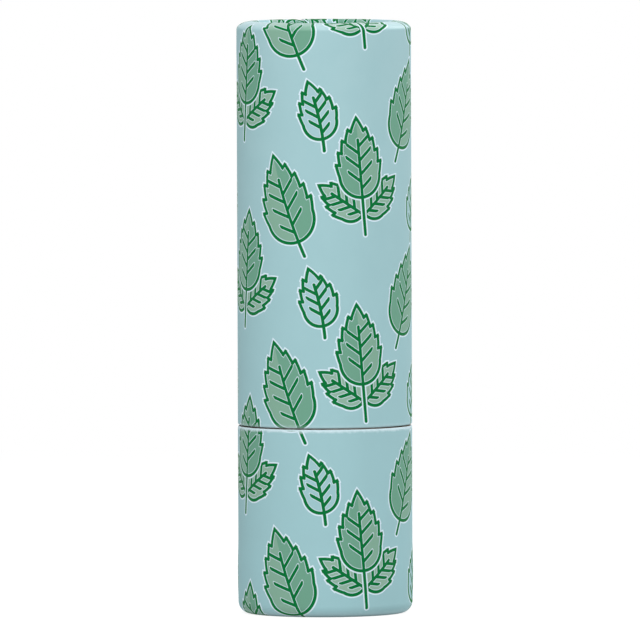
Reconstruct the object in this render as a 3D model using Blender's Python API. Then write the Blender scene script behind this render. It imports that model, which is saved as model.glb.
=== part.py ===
"""Twist-up lip balm in a two-part printed paper tube.

The base holds a moulded mechanism: a slotted guide fixed in the base, a cam sleeve with two helical
tracks turning round it inside a thin shell, and a cup whose lugs pass through the slots into the tracks.
The long cap slides over the shell and meets the base at the seam. Metres, +Z up, origin at the foot.
"""

from math import ceil, cos, pi, radians, sin, tau
from typing import NamedTuple

import bmesh
import bpy
from mathutils import Matrix

MM = 0.001

# The whole stick
total_height = 70.0 * MM
seam_height = 22.2 * MM
seam_gap = 0.12 * MM

# The balm, whose diameter is the size that mechanisms are sold by
balm_diameter = 12.1 * MM
balm_length = 34.0 * MM
balm_tip_length = 6.5 * MM
balm_edge_round = 1.6 * MM
balm_crown = 0.5 * MM
balm_slant_share = 0.3
balm_cover = 1.5 * MM
balm_held = 10.0 * MM

# The cup that carries the balm, and its two lugs
balm_gap = 0.1 * MM
cup_wall = 0.5 * MM
cup_floor = 0.8 * MM
cup_height = 11.0 * MM
cup_round = 0.3 * MM
cup_rest_gap = 0.3 * MM
cup_vent = 1.5 * MM
cup_rib_count = 6
cup_rib_width = 0.5 * MM
cup_rib_reach = 0.35 * MM
cup_rib_setback = 2.0 * MM
lug_diameter = 2.0 * MM
lug_end_gap = 0.25 * MM

# The guide sleeve, fixed in the base
slide_gap = 0.15 * MM
guide_wall = 0.7 * MM
guide_floor = 0.8 * MM
guide_skirt_height = 3.2 * MM
guide_skirt_wall = 0.7 * MM
key_count = 4
key_width = 1.0 * MM
key_reach = 0.3 * MM
key_setback = 0.8 * MM
key_gap = 0.1 * MM
guide_flange_height = 0.9 * MM
guide_flange_reach = 0.55 * MM
guide_flange_round = 0.3 * MM
slot_gap = 0.12 * MM

# The cam sleeve and its tracks
turn_gap = 0.15 * MM
cam_wall = 0.75 * MM
cam_end_band = 1.0 * MM
track_gap = 0.12 * MM
turns_to_lift = 1.25

# The friction ring below the cam
ring_gap = 0.05 * MM

# The shell that is gripped to twist
shell_fit_gap = 0.1 * MM
shell_wall = 0.3 * MM
shell_below_guide = 0.4 * MM
shell_lip_round = 0.45 * MM
shell_lip_gap = 0.1 * MM

# The cap's liner and the base's insert, which share one wall
grip_gap = 0.1 * MM
liner_wall = 0.45 * MM
liner_setback = 0.3 * MM
insert_floor = 0.8 * MM
insert_setback = 0.6 * MM

# Board tubes, end discs and the printed wrap
glue_gap = 0.05 * MM
board_wall = 0.7 * MM
disc_thickness = 1.2 * MM
wrap_thickness = 0.15 * MM
edge_round = 0.22 * MM
edge_turn = radians(60)
rim_recess = 1.1 * MM
rim_flat = 0.15 * MM
rim_lip_round = 0.5 * MM
cap_curl = 0.95 * MM
cap_curl_reach = 1.8 * MM
cap_swell = 0.02 * MM
cap_swell_reach = 4.0 * MM
foot_curl = 1.4 * MM
foot_curl_reach = 1.4 * MM
foot_swell = 0.08 * MM
foot_swell_reach = 7.0 * MM

# Fineness of the faceted surfaces
ROUND_STEPS = 40
EDGE_STEPS = 2
LIP_STEPS = 2
CURL_STEPS = 3
SWELL_STEPS = 3
RING_STEPS = 6
LUG_STEPS = 16
SLOT_END_STEPS = 6
TRACK_STEP = radians(18)
WELD = 0.001 * MM
overrun = 1.0 * MM
SHARP_ANGLE = radians(35)

# Radii, worked out from the balm outwards
balm_radius = balm_diameter / 2
cup_inner = balm_radius + balm_gap
cup_outer = cup_inner + cup_wall
guide_inner = cup_outer + slide_gap
guide_outer = guide_inner + guide_wall
cam_inner = guide_outer + turn_gap
cam_outer = cam_inner + cam_wall
flange_radius = guide_outer + guide_flange_reach
shell_inner = cam_outer + shell_fit_gap
shell_outer = shell_inner + shell_wall
liner_inner = shell_outer + grip_gap
liner_outer = liner_inner + liner_wall
board_inner = liner_outer + glue_gap
board_outer = board_inner + board_wall
outer_radius = board_outer + glue_gap + wrap_thickness

# Heights, worked out from the foot upwards
foot_disc_top = rim_recess + glue_gap + disc_thickness
insert_bottom = foot_disc_top + glue_gap
guide_bottom = insert_bottom + insert_floor + glue_gap
guide_floor_top = guide_bottom + guide_floor
skirt_top = guide_bottom + guide_skirt_height
key_top = skirt_top - key_setback
ring_section = shell_inner - guide_outer - 2 * ring_gap
ring_height = skirt_top + ring_gap + ring_section / 2
cam_bottom = skirt_top + 2 * ring_gap + ring_section
lug_radius = lug_diameter / 2
lift = balm_length - balm_held
track_bottom = cam_bottom + cam_end_band
lug_height = track_bottom + lug_radius + track_gap
track_top = lug_height + lift + lug_radius + track_gap
cup_bottom = guide_floor_top + cup_rest_gap
cup_top = cup_bottom + cup_height
cup_rib_top = cup_top - cup_rib_setback
balm_bottom = cup_bottom + cup_floor + balm_gap
balm_top = balm_bottom + balm_length
guide_top = balm_top + balm_cover
flange_bottom = guide_top - guide_flange_height
cam_top = flange_bottom - turn_gap
shell_bottom = skirt_top + turn_gap
shell_top = guide_top - shell_below_guide


class Half(NamedTuple):
    """One paper tube, measured from its rolled rim inwards along the axis."""

    rim: float
    inwards: int
    length: float
    curl: float
    curl_reach: float
    swell: float
    swell_reach: float


cap_length = total_height - seam_height - seam_gap
base = Half(0, 1, seam_height, foot_curl, foot_curl_reach, foot_swell, foot_swell_reach)
cap = Half(total_height, -1, cap_length, cap_curl, cap_curl_reach, cap_swell, cap_swell_reach)


def clear_scene():
    for thing in list(bpy.data.objects):
        bpy.data.objects.remove(thing, do_unlink=True)


def finish(name, colour, roughness, metallic=0.0):
    """A plain Principled material in the piece's own colour."""
    material = bpy.data.materials.new(name)
    material.use_nodes = True
    shader = material.node_tree.nodes["Principled BSDF"]
    shader.inputs["Base Color"].default_value = (*colour, 1)
    shader.inputs["Roughness"].default_value = roughness
    shader.inputs["Metallic"].default_value = metallic
    return material


def add_piece(name, mesh, material):
    """Put a mesh in the scene as one named piece, shaded smooth between its sharp edges."""
    mesh.materials.append(material)
    mesh.shade_smooth()
    mesh.set_sharp_from_angle(angle=SHARP_ANGLE)
    piece = bpy.data.objects.new(name, mesh)
    bpy.context.collection.objects.link(piece)
    return piece


def add_tool(name, mesh):
    """Put a mesh in the scene that only shapes another piece."""
    tool = bpy.data.objects.new(name, mesh)
    bpy.context.collection.objects.link(tool)
    tool.hide_render = True
    tool.display_type = "WIRE"
    return tool


def combine(piece, tool, operation):
    step = piece.modifiers.new(tool.name, "BOOLEAN")
    step.operation = operation
    step.solver = "EXACT"
    step.object = tool


def mesh_from(form, name):
    """Turn a finished bmesh into a mesh whose faces point out."""
    bmesh.ops.recalc_face_normals(form, faces=form.faces)
    mesh = bpy.data.meshes.new(name)
    form.to_mesh(mesh)
    form.free()
    return mesh


def oval_arc(centre, reach, rise, start, end, steps):
    """Points of an oval in a turned section, reach wide and rise high from its centre."""
    points = []
    for step in range(steps + 1):
        angle = start + (end - start) * step / steps
        points.append((centre[0] + reach * cos(angle), centre[1] + rise * sin(angle)))
    return points


def arc(centre, radius, start, end, steps):
    """Points of a circle's arc in a turned section, from one angle to another."""
    return oval_arc(centre, radius, radius, start, end, steps)


def turned(name, outline):
    """Turn a closed outline of (radius, height) points once round the axis."""
    form = bmesh.new()
    corners = [form.verts.new((radius, 0, height)) for radius, height in outline]
    edges = [form.edges.new((corners[index - 1], corner)) for index, corner in enumerate(corners)]
    bmesh.ops.spin(
        form,
        geom=corners + edges,
        axis=(0, 0, 1),
        angle=tau,
        steps=ROUND_STEPS,
        use_merge=True,
    )
    bmesh.ops.remove_doubles(form, verts=form.verts, dist=WELD)
    bmesh.ops.dissolve_degenerate(form, edges=form.edges, dist=WELD)
    loose = [edge for edge in form.edges if not edge.link_faces]
    bmesh.ops.delete(form, geom=loose, context="EDGES")
    return mesh_from(form, name)


def bars(name, count, inner, outer, width, bottom, top):
    """A ring of upright bars round the axis, from an inner to an outer radius."""
    form = bmesh.new()
    centre = Matrix.Translation(((inner + outer) / 2, 0, (bottom + top) / 2))
    size = Matrix.Diagonal((outer - inner, width, top - bottom, 1))
    for index in range(count):
        turn = Matrix.Rotation(tau * (index + 1 / 2) / count, 4, "Z")
        bmesh.ops.create_cube(form, size=1, matrix=turn @ centre @ size)
    return mesh_from(form, name)


def placed(half, outline):
    """Move an outline from run along a half to height in the stick."""
    return [(radius, half.rim + half.inwards * run) for radius, run in outline]


def swollen_wall(half, depth):
    """The wall's slight swelling next to the rolled rim, from the curl to the straight tube."""
    points = []
    for step in range(1, SWELL_STEPS + 1):
        share = step / SWELL_STEPS
        run = half.curl + half.swell_reach * share
        points.append((outer_radius - depth + half.swell * sin(pi * share), run))
    return points


def outside(half, depth):
    """The paper wall at a depth below its surface, from inside the rolled rim to the open edge."""
    lip_radius = outer_radius - half.curl_reach - rim_flat
    inner_face = (lip_radius - rim_lip_round + depth, rim_recess)
    lip = arc((lip_radius, rim_lip_round), rim_lip_round - depth, pi, 3 * pi / 2, LIP_STEPS)
    curl_centre = (outer_radius - half.curl_reach, half.curl)
    curl_size = (half.curl_reach - depth, half.curl - depth)
    curl = oval_arc(curl_centre, *curl_size, 3 * pi / 2, tau, CURL_STEPS)
    edge_centre = (outer_radius - edge_round, half.length - edge_round)
    edge = arc(edge_centre, edge_round - depth, 0, edge_turn, EDGE_STEPS)
    return [inner_face, *lip, *curl, *swollen_wall(half, depth), *edge]


def wrap_mesh(name, half):
    """The printed paper: a thin skin that follows the wall, rolled rim and eased edge."""
    skin = outside(half, 0) + outside(half, wrap_thickness)[::-1]
    return turned(name, placed(half, skin))


def tube_mesh(name, half):
    """The board tube: its end is rolled into a solid bead, and its open edge is square inside."""
    outline = outside(half, wrap_thickness + glue_gap)
    outline.append((outer_radius - edge_round, half.length))
    outline.append((board_inner, half.length))
    outline.append((board_inner, rim_recess))
    return turned(name, placed(half, outline))


def disc_mesh(name, half):
    """The end disc, trapped behind the rolled bead."""
    radius = board_inner - glue_gap
    face = rim_recess + glue_gap
    back = face + disc_thickness
    return turned(name, placed(half, [(0, face), (radius, face), (radius, back), (0, back)]))


def liner_mesh(name):
    """The cap's inner tube, from the end disc to just short of the open edge."""
    start = rim_recess + glue_gap + disc_thickness + glue_gap
    end = cap.length - liner_setback
    ease = liner_wall / 3
    outline = [
        (liner_inner, start),
        (liner_outer, start),
        (liner_outer, end),
        (liner_inner + ease, end),
        (liner_inner, end - ease),
    ]
    return turned(name, placed(cap, outline))


def insert_mesh(name):
    """The plastic cup in the base, with its mouth eased to lead the shell in."""
    top = seam_height - insert_setback
    floor_top = insert_bottom + insert_floor
    ease = liner_wall / 3
    outline = [
        (0, insert_bottom),
        (liner_outer, insert_bottom),
        (liner_outer, top),
        (liner_inner + ease, top),
        (liner_inner, top - ease),
        (liner_inner, floor_top),
        (0, floor_top),
    ]
    return turned(name, outline)


def key_bars(name, gap, bottom):
    """The insert's upright keys, or with a gap the notches that they need in the guide's skirt."""
    inner = liner_inner - key_reach - gap
    outer = liner_inner + liner_wall / 2
    return bars(name, key_count, inner, outer, key_width + 2 * gap, bottom, key_top + gap)


def guide_mesh(name):
    """The guide before its slots: floor, skirt with a hollow under it, neck and snap flange."""
    skirt_outer = liner_inner - glue_gap
    skirt_inner = skirt_outer - guide_skirt_wall
    web_bottom = skirt_top - guide_skirt_wall
    round_centre = (flange_radius - guide_flange_round, guide_top - guide_flange_round)
    outline = [
        (0, guide_bottom),
        (guide_outer, guide_bottom),
        (guide_outer, web_bottom),
        (skirt_inner, web_bottom),
        (skirt_inner, guide_bottom),
        (skirt_outer, guide_bottom),
        (skirt_outer, skirt_top),
        (guide_outer, skirt_top),
        (guide_outer, flange_bottom),
        (flange_radius, flange_bottom),
        *arc(round_centre, guide_flange_round, 0, pi / 2, EDGE_STEPS),
        (guide_inner, guide_top),
        (guide_inner, guide_floor_top),
        (0, guide_floor_top),
    ]
    return turned(name, outline)


def slot_cutter(name):
    """A round-ended bar, as wide as a lug's slot, that reaches through both sides of the guide."""
    radius = lug_radius + slot_gap
    low = arc((0, lug_height), radius, pi, tau, SLOT_END_STEPS)
    high = arc((0, lug_height + lift), radius, 0, pi, SLOT_END_STEPS)
    reach = guide_outer + overrun
    form = bmesh.new()
    rim = [form.verts.new((-reach, across, height)) for across, height in low + high]
    side = form.faces.new(rim)
    grown = bmesh.ops.extrude_face_region(form, geom=[side])
    moved = [item for item in grown["geom"] if isinstance(item, bmesh.types.BMVert)]
    bmesh.ops.translate(form, verts=moved, vec=(2 * reach, 0, 0))
    return mesh_from(form, name)


def cam_columns():
    """Angles across half a turn of the cam at the foot of its tracks, each with what it starts."""
    lead = lift / turns_to_lift
    slope_length = (lead**2 + (tau * cam_outer) ** 2) ** 0.5
    track_width = lug_diameter + 2 * track_gap
    track_angle = track_width * slope_length / (lead * cam_outer)
    land_angle = pi - track_angle
    columns = []
    for start, width, is_open in ((-track_angle / 2, track_angle, True), (track_angle / 2, land_angle, False)):
        count = ceil(width / TRACK_STEP)
        columns += [(start + width * step / count, is_open) for step in range(count)]
    return columns


def cam_rows():
    """Heights of the cam's rows and the track's turn there: a plain band, the tracks, a plain band."""
    twist_per_height = tau * turns_to_lift / lift
    count = ceil((track_top - track_bottom) * twist_per_height / TRACK_STEP)
    track_rows = [track_bottom + (track_top - track_bottom) * step / count for step in range(count + 1)]
    heights = [cam_bottom, *track_rows, cam_top]
    clamped = [min(max(height, track_bottom), track_top) for height in heights]
    return [(height, (level - lug_height) * twist_per_height) for height, level in zip(heights, clamped)]


def cam_mesh(name):
    """The cam sleeve, a wall of small panels that turn with the tracks and leave them open."""
    columns = cam_columns()
    columns += [(angle + pi, is_open) for angle, is_open in columns]
    rows = cam_rows()
    form = bmesh.new()
    skins = []
    for radius in (cam_inner, cam_outer):
        skin = []
        for height, twist in rows:
            skin.append(
                [
                    form.verts.new((radius * cos(angle + twist), radius * sin(angle + twist), height))
                    for angle, is_open in columns
                ]
            )
        skins.append(skin)

    def is_wall(row, column):
        in_tracks = 0 < row < len(rows) - 2
        return 0 <= row < len(rows) - 1 and not (in_tracks and columns[column % len(columns)][1])

    def side(row_a, column_a, row_b, column_b):
        """Close the wall's thickness along one edge of a panel."""
        ends = [(row_a, column_a % len(columns)), (row_b, column_b % len(columns))]
        inner = [skins[0][row][column] for row, column in ends]
        outer = [skins[1][row][column] for row, column in reversed(ends)]
        form.faces.new(inner + outer)

    for row in range(len(rows) - 1):
        for column in range(len(columns)):
            if not is_wall(row, column):
                continue
            after = (column + 1) % len(columns)
            for skin in skins:
                form.faces.new((skin[row][column], skin[row][after], skin[row + 1][column]))
                form.faces.new((skin[row][after], skin[row + 1][after], skin[row + 1][column]))
            if not is_wall(row - 1, column):
                side(row, column, row, column + 1)
            if not is_wall(row + 1, column):
                side(row + 1, column, row + 1, column + 1)
            if not is_wall(row, column - 1):
                side(row, column, row + 1, column)
            if not is_wall(row, column + 1):
                side(row, column + 1, row + 1, column + 1)
    return mesh_from(form, name)


def ring_mesh(name):
    """The friction ring, round in section."""
    centre = (guide_outer + ring_gap + ring_section / 2, ring_height)
    return turned(name, arc(centre, ring_section / 2, 0, tau, RING_STEPS)[:-1])


def shell_mesh(name):
    """The shell, a thin drawn sleeve with its top turned in over the cam and its foot rounded."""
    half_wall = shell_wall / 2
    turn_centre = (shell_outer - shell_lip_round, shell_top - shell_lip_round)
    lip_edge = flange_radius + shell_lip_gap
    foot_centre = (shell_inner + half_wall, shell_bottom + half_wall)
    outline = [
        *arc(turn_centre, shell_lip_round, 0, pi / 2, CURL_STEPS),
        (lip_edge, shell_top),
        (lip_edge, shell_top - shell_wall),
        *arc(turn_centre, shell_lip_round - shell_wall, pi / 2, 0, EDGE_STEPS),
        *arc(foot_centre, half_wall, pi, tau, 2 * EDGE_STEPS),
    ]
    return turned(name, outline)


def cup_mesh(name):
    """The cup before its ribs and lugs: a vented floor, a rounded corner and a wall eased at the mouth."""
    corner = (cup_outer - cup_round, cup_bottom + cup_round)
    ease = cup_wall / 2
    outline = [
        (cup_vent, cup_bottom),
        *arc(corner, cup_round, 3 * pi / 2, tau, EDGE_STEPS),
        (cup_outer, cup_top),
        (cup_inner + ease, cup_top),
        (cup_inner, cup_top - ease),
        (cup_inner, cup_bottom + cup_floor),
        (cup_vent, cup_bottom + cup_floor),
    ]
    return turned(name, outline)


def rib_bars(name, gap, bottom, outer):
    """The cup's ribs that grip the balm, or with a gap the grooves that they press into it."""
    inner = cup_inner - cup_rib_reach - gap
    return bars(name, cup_rib_count, inner, outer, cup_rib_width + 2 * gap, bottom, cup_rib_top + gap)


def lugs_mesh(name):
    """Two round lugs that start in the cup's wall and end just inside the shell."""
    start = cup_inner + cup_wall / 2
    reach = shell_inner - lug_end_gap - start
    form = bmesh.new()
    for side in (0, pi):
        place = Matrix.Translation((start + reach / 2, 0, lug_height)) @ Matrix.Rotation(pi / 2, 4, "Y")
        bmesh.ops.create_cone(
            form,
            cap_ends=True,
            segments=LUG_STEPS,
            radius1=lug_radius,
            radius2=lug_radius,
            depth=reach,
            matrix=Matrix.Rotation(side, 4, "Z") @ place,
        )
    return mesh_from(form, name)


def balm_mesh(name):
    """The balm: a straight stick whose rounded tip slants down towards the front."""
    slant_rise = balm_slant_share * (balm_radius - balm_edge_round)
    shoulder = balm_top - slant_rise - balm_edge_round
    start = balm_top - balm_tip_length
    corner = (balm_radius - balm_edge_round, shoulder)
    outline = [
        (0, balm_bottom),
        (balm_radius, balm_bottom),
        (balm_radius, start),
        (balm_radius, (start + shoulder) / 2),
        *arc(corner, balm_edge_round, 0, pi / 2, CURL_STEPS),
        (0, shoulder + balm_edge_round + balm_crown),
    ]
    mesh = turned(name, outline)
    for corner in mesh.vertices:
        share = min(1, max(0, (corner.co.z - start) / (shoulder - start)))
        corner.co.z += balm_slant_share * corner.co.y * share
    return mesh


def build_paper(half_name, half, print_paper, board, plain_paper):
    add_piece(f"{half_name}_wrap", wrap_mesh(f"{half_name}_wrap", half), print_paper)
    add_piece(f"{half_name}_tube", tube_mesh(f"{half_name}_tube", half), board)
    add_piece(f"{half_name}_disc", disc_mesh(f"{half_name}_disc", half), plain_paper)


def build_mechanism(white_plastic):
    insert = add_piece("base_insert", insert_mesh("base_insert"), white_plastic)
    keys = key_bars("keys", 0, insert_bottom + insert_floor / 2)
    combine(insert, add_tool("keys", keys), "UNION")
    guide = add_piece("guide_sleeve", guide_mesh("guide_sleeve"), white_plastic)
    combine(guide, add_tool("slot_cutter", slot_cutter("slot_cutter")), "DIFFERENCE")
    notches = key_bars("key_notches", key_gap, guide_bottom - overrun)
    combine(guide, add_tool("key_notches", notches), "DIFFERENCE")
    rubber = finish("clear_rubber", (0.55, 0.56, 0.55), 0.5)
    add_piece("friction_ring", ring_mesh("friction_ring"), rubber)
    add_piece("cam_sleeve", cam_mesh("cam_sleeve"), finish("cam_plastic", (0.80, 0.81, 0.80), 0.45))
    add_piece("shell", shell_mesh("shell"), finish("satin_aluminium", (0.80, 0.81, 0.82), 0.3, 1.0))


def build_carrier(white_plastic):
    cup = add_piece("balm_cup", cup_mesh("balm_cup"), white_plastic)
    ribs = rib_bars("cup_ribs", 0, cup_bottom + cup_floor / 2, cup_inner + cup_wall / 2)
    combine(cup, add_tool("cup_ribs", ribs), "UNION")
    combine(cup, add_tool("lugs", lugs_mesh("lugs")), "UNION")
    balm = add_piece("balm", balm_mesh("balm"), finish("balm_wax", (0.86, 0.84, 0.70), 0.4))
    grooves = rib_bars("rib_grooves", balm_gap, balm_bottom - overrun, balm_radius + overrun)
    combine(balm, add_tool("rib_grooves", grooves), "DIFFERENCE")


clear_scene()
mint_print = finish("mint_print", (0.40, 0.61, 0.64), 0.55)
mint_paper = finish("mint_paper", (0.40, 0.61, 0.64), 0.6)
grey_board = finish("grey_board", (0.45, 0.40, 0.34), 0.9)
plastic = finish("white_plastic", (0.86, 0.87, 0.86), 0.4)
build_paper("base", base, mint_print, grey_board, mint_paper)
build_paper("cap", cap, mint_print, grey_board, mint_paper)
add_piece("cap_liner", liner_mesh("cap_liner"), finish("white_liner", (0.86, 0.85, 0.82), 0.8))
build_mechanism(plastic)
build_carrier(plastic)
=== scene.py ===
"""The looks of a twist-up lip balm in a printed paper tube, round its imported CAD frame.

The sections follow the order in which the stick is put together: the moulded mechanism from the insert to
the balm, then the board tubes, discs and liner, and last the printed paper that is wound round them.
Metres, +Z up, and the side that the photograph shows is -Y.
"""

from math import cos, pi, radians, sin, tan, tau

import bmesh
import bpy
from mathutils import Matrix, Vector


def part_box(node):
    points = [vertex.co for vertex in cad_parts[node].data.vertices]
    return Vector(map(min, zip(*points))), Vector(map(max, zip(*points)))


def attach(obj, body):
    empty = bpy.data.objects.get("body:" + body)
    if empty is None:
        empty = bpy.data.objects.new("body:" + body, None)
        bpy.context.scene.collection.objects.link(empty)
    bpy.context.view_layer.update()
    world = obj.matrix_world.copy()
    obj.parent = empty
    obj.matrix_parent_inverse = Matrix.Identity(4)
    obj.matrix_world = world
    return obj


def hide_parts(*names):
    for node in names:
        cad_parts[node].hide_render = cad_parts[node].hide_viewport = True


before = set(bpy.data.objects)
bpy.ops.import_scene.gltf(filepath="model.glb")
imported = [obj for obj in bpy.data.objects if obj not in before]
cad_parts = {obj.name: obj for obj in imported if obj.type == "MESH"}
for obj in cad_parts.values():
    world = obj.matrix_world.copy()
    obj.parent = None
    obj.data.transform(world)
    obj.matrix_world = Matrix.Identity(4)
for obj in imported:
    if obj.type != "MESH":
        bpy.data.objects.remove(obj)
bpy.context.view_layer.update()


# Base insert: a thin moulded cup of white plastic, glued into the base tube. Its wall holds the foot of the
# mechanism, four upright keys stop the guide from turning, and its mouth is eased to lead the shell in.
MM = 0.001
WELD = 0.0005 * MM
ROUND_STEPS = 160
EASE_STEPS = 4
SUPPORT_SHARE = 0.4
SHARP_ANGLE = radians(40)
insert_bore = 8.9 * MM
insert_floor = 0.8 * MM
insert_foot_easing = 0.3 * MM
insert_mouth_easing = 0.15 * MM
thin_easing = 0.06 * MM
key_count = 4
key_width = 1.0 * MM
key_reach = 0.3 * MM
key_root = 0.2 * MM
key_top = 5.65 * MM
NOISE_RANGE = (0.3, 0.7)
GRAIN_RELIEF_SHARES = (0.7, 0.3)
GRAIN_TONE_SHARES = (0.35, 0.65)
WHITE_PLASTIC = ((0.80, 0.815, 0.80), (0.86, 0.87, 0.86))
WHITE_ROUGHNESS = (0.36, 0.5)
grain_depth = 0.004 * MM


def eased(corners):
    """Points of a turned outline whose corners (radius, height, easing) are rounded."""
    points = []
    for index, (radius, height, easing) in enumerate(corners):
        corner = Vector((radius, height))
        if not easing:
            points.append(corner)
            continue
        back = (Vector(corners[index - 1][:2]) - corner).normalized()
        on = (Vector(corners[(index + 1) % len(corners)][:2]) - corner).normalized()
        half_angle = back.angle(on) / 2
        reach = easing / tan(half_angle)
        centre = corner + (back + on).normalized() * (easing / sin(half_angle))
        first = corner + back * reach - centre
        last = corner + on * reach - centre
        points.append(corner + back * reach * (1 + SUPPORT_SHARE))
        for step in range(EASE_STEPS + 1):
            points.append(centre + first.lerp(last, step / EASE_STEPS).normalized() * easing)
        points.append(corner + on * reach * (1 + SUPPORT_SHARE))
    return points


def turned(name, outline, steps=ROUND_STEPS):
    """A closed outline of (radius, height) points turned once round the axis."""
    form = bmesh.new()
    corners = [form.verts.new((radius, 0, height)) for radius, height in outline]
    edges = [form.edges.new((corners[index - 1], corner)) for index, corner in enumerate(corners)]
    bmesh.ops.spin(form, geom=corners + edges, axis=(0, 0, 1), angle=tau, steps=steps, use_merge=True)
    bmesh.ops.remove_doubles(form, verts=form.verts, dist=WELD)
    bmesh.ops.dissolve_degenerate(form, edges=form.edges, dist=WELD)
    loose = [edge for edge in form.edges if not edge.link_faces]
    bmesh.ops.delete(form, geom=loose, context="EDGES")
    return piece_from(form, name)


def turned_soft(name, *corners, steps=ROUND_STEPS):
    """A turned piece with rounded corners, each given as (radius, height, easing)."""
    return turned(name, eased(corners), steps)


def bars(name, count, inner, outer, width, bottom, top):
    """Upright bars round the axis, from an inner to an outer radius."""
    form = bmesh.new()
    centre = Matrix.Translation(((inner + outer) / 2, 0, (bottom + top) / 2))
    size = Matrix.Diagonal((outer - inner, width, top - bottom, 1))
    for index in range(count):
        turn = Matrix.Rotation(tau * (index + 1 / 2) / count, 4, "Z")
        bmesh.ops.create_cube(form, size=1, matrix=turn @ centre @ size)
    return piece_from(form, name)


def piece_from(form, name):
    """A finished bmesh as an object whose faces point out."""
    bmesh.ops.recalc_face_normals(form, faces=form.faces)
    mesh = bpy.data.meshes.new(name)
    form.to_mesh(mesh)
    form.free()
    piece = bpy.data.objects.new(name, mesh)
    bpy.context.collection.objects.link(piece)
    return piece


def settle(piece):
    """Turns a piece's modifiers into plain mesh, shaded smooth between sharp edges."""
    graph = bpy.context.evaluated_depsgraph_get()
    shaped = piece.evaluated_get(graph)
    mesh = bpy.data.meshes.new_from_object(shaped, preserve_all_data_layers=True, depsgraph=graph)
    piece.modifiers.clear()
    piece.data = mesh
    mesh.shade_smooth()
    mesh.set_sharp_from_angle(angle=SHARP_ANGLE)
    return piece


def carved(piece, *steps):
    """Joins tools to a piece or cuts them out of it, and takes the tools away."""
    for operation, tool in steps:
        step = piece.modifiers.new(tool.name, "BOOLEAN")
        step.operation = operation
        step.solver = "EXACT"
        step.object = tool
    settle(piece)
    for _, tool in steps:
        bpy.data.objects.remove(tool, do_unlink=True)
    return piece


def seat(piece, material, body, node):
    """Gives a finished piece its material and its CAD node's place."""
    piece.data.materials.clear()
    piece.data.materials.append(material)
    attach(piece, body)
    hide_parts(node)


class Term:
    """A number, vector, colour, shader or geometry in a node tree. Sums written with it add Math nodes."""

    def __init__(self, tree, socket):
        self.tree = tree
        self.socket = socket

    def __abs__(self):
        return math("ABSOLUTE", self)


def add_sign(label, operation):
    """Makes a sign of sums add a Math node, with the term on either side of it."""
    setattr(Term, f"__{label}__", lambda term, other: math(operation, term, other))
    setattr(Term, f"__r{label}__", lambda term, other: math(operation, other, term))


for label, operation in {"add": "ADD", "sub": "SUBTRACT", "mul": "MULTIPLY", "truediv": "DIVIDE"}.items():
    add_sign(label, operation)


def tree_of(values):
    """The tree of the first term among some values."""
    return next(value.tree for value in values if isinstance(value, Term))


def plug(slot, value):
    """Joins an input to a term, or sets it to a plain value. A plain colour is solid."""
    if isinstance(value, Term):
        value.tree.links.new(value.socket, slot)
    else:
        slot.default_value = (*value, 1) if slot.type == "RGBA" else value


def add_node(tree, kind, values=None, **settings):
    """A node with its settings and its inputs, given by name or number."""
    node = tree.nodes.new(kind)
    for name, setting in settings.items():
        setattr(node, name, setting)
    for slot, value in (values or {}).items():
        plug(node.inputs[slot], value)
    return node


def made(tree, kind, values=None, output=0, **settings):
    """What one output of a new node gives, as a term."""
    return Term(tree, add_node(tree, kind, values, **settings).outputs[output])


def math(operation, *values):
    """The result of a Math node."""
    return made(tree_of(values), "ShaderNodeMath", dict(enumerate(values)), operation=operation)


def between(value, start, end, kind="SMOOTHSTEP"):
    """0 before start, 1 after end, and a rise between them."""
    inputs = {"Value": value, "From Min": start, "From Max": end}
    return made(value.tree, "ShaderNodeMapRange", inputs, interpolation_type=kind)


def weighed(masks, shares):
    """Masks added up by their shares."""
    first, *others = [mask * share for mask, share in zip(masks, shares)]
    return sum(others, first)


def joined(x, y, z):
    """A vector of three values."""
    return made(x.tree, "ShaderNodeCombineXYZ", {0: x, 1: y, 2: z})


def split(vector):
    """The three values of a vector."""
    node = add_node(vector.tree, "ShaderNodeSeparateXYZ", {0: vector})
    return [Term(vector.tree, output) for output in node.outputs]


def noise(place, size, detail=2.0):
    """Smooth noise from 0 to 1 whose patches are about size across."""
    return made(place.tree, "ShaderNodeTexNoise", {"Vector": place, "Scale": 1 / size, "Detail": detail})


def mixed(share, low, high):
    """One colour where share is 0 and another where it is 1."""
    return made(share.tree, "ShaderNodeMix", {0: share, 6: low, 7: high}, output=2, data_type="RGBA")


INPUT_KINDS = {
    float: "NodeSocketFloat",
    int: "NodeSocketInt",
    tuple: "NodeSocketColor",
    type(None): "NodeSocketVector",
}
OUTPUT_KINDS = {"Colour": "NodeSocketColor", "Geometry": "NodeSocketGeometry"}


def open_group(name, inputs, kind="ShaderNodeTree"):
    """An empty node group and its named inputs as terms. One without a value of its own is a vector."""
    tree = bpy.data.node_groups.new(name, kind)
    for label, value in inputs.items():
        socket = tree.interface.new_socket(label, in_out="INPUT", socket_type=INPUT_KINDS[type(value)])
        if value is not None:
            socket.default_value = (*value, 1) if isinstance(value, tuple) else value
    entry = tree.nodes.new("NodeGroupInput")
    return tree, {label: Term(tree, entry.outputs[label]) for label in inputs}


def close_group(tree, results):
    """Names a group's outputs, numbers unless they are colours or geometry, and returns the group."""
    for label in results:
        kind = OUTPUT_KINDS.get(label, "NodeSocketFloat")
        tree.interface.new_socket(label, in_out="OUTPUT", socket_type=kind)
    end = tree.nodes.new("NodeGroupOutput")
    for label, value in results.items():
        plug(end.inputs[label], value)
    return tree


def use_group(group, values):
    """Places a group in the tree of its values and returns its outputs by name."""
    tree = tree_of(values.values())
    node = add_node(tree, "ShaderNodeGroup", values, node_tree=group)
    return {output.name: Term(tree, output) for output in node.outputs}


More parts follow.
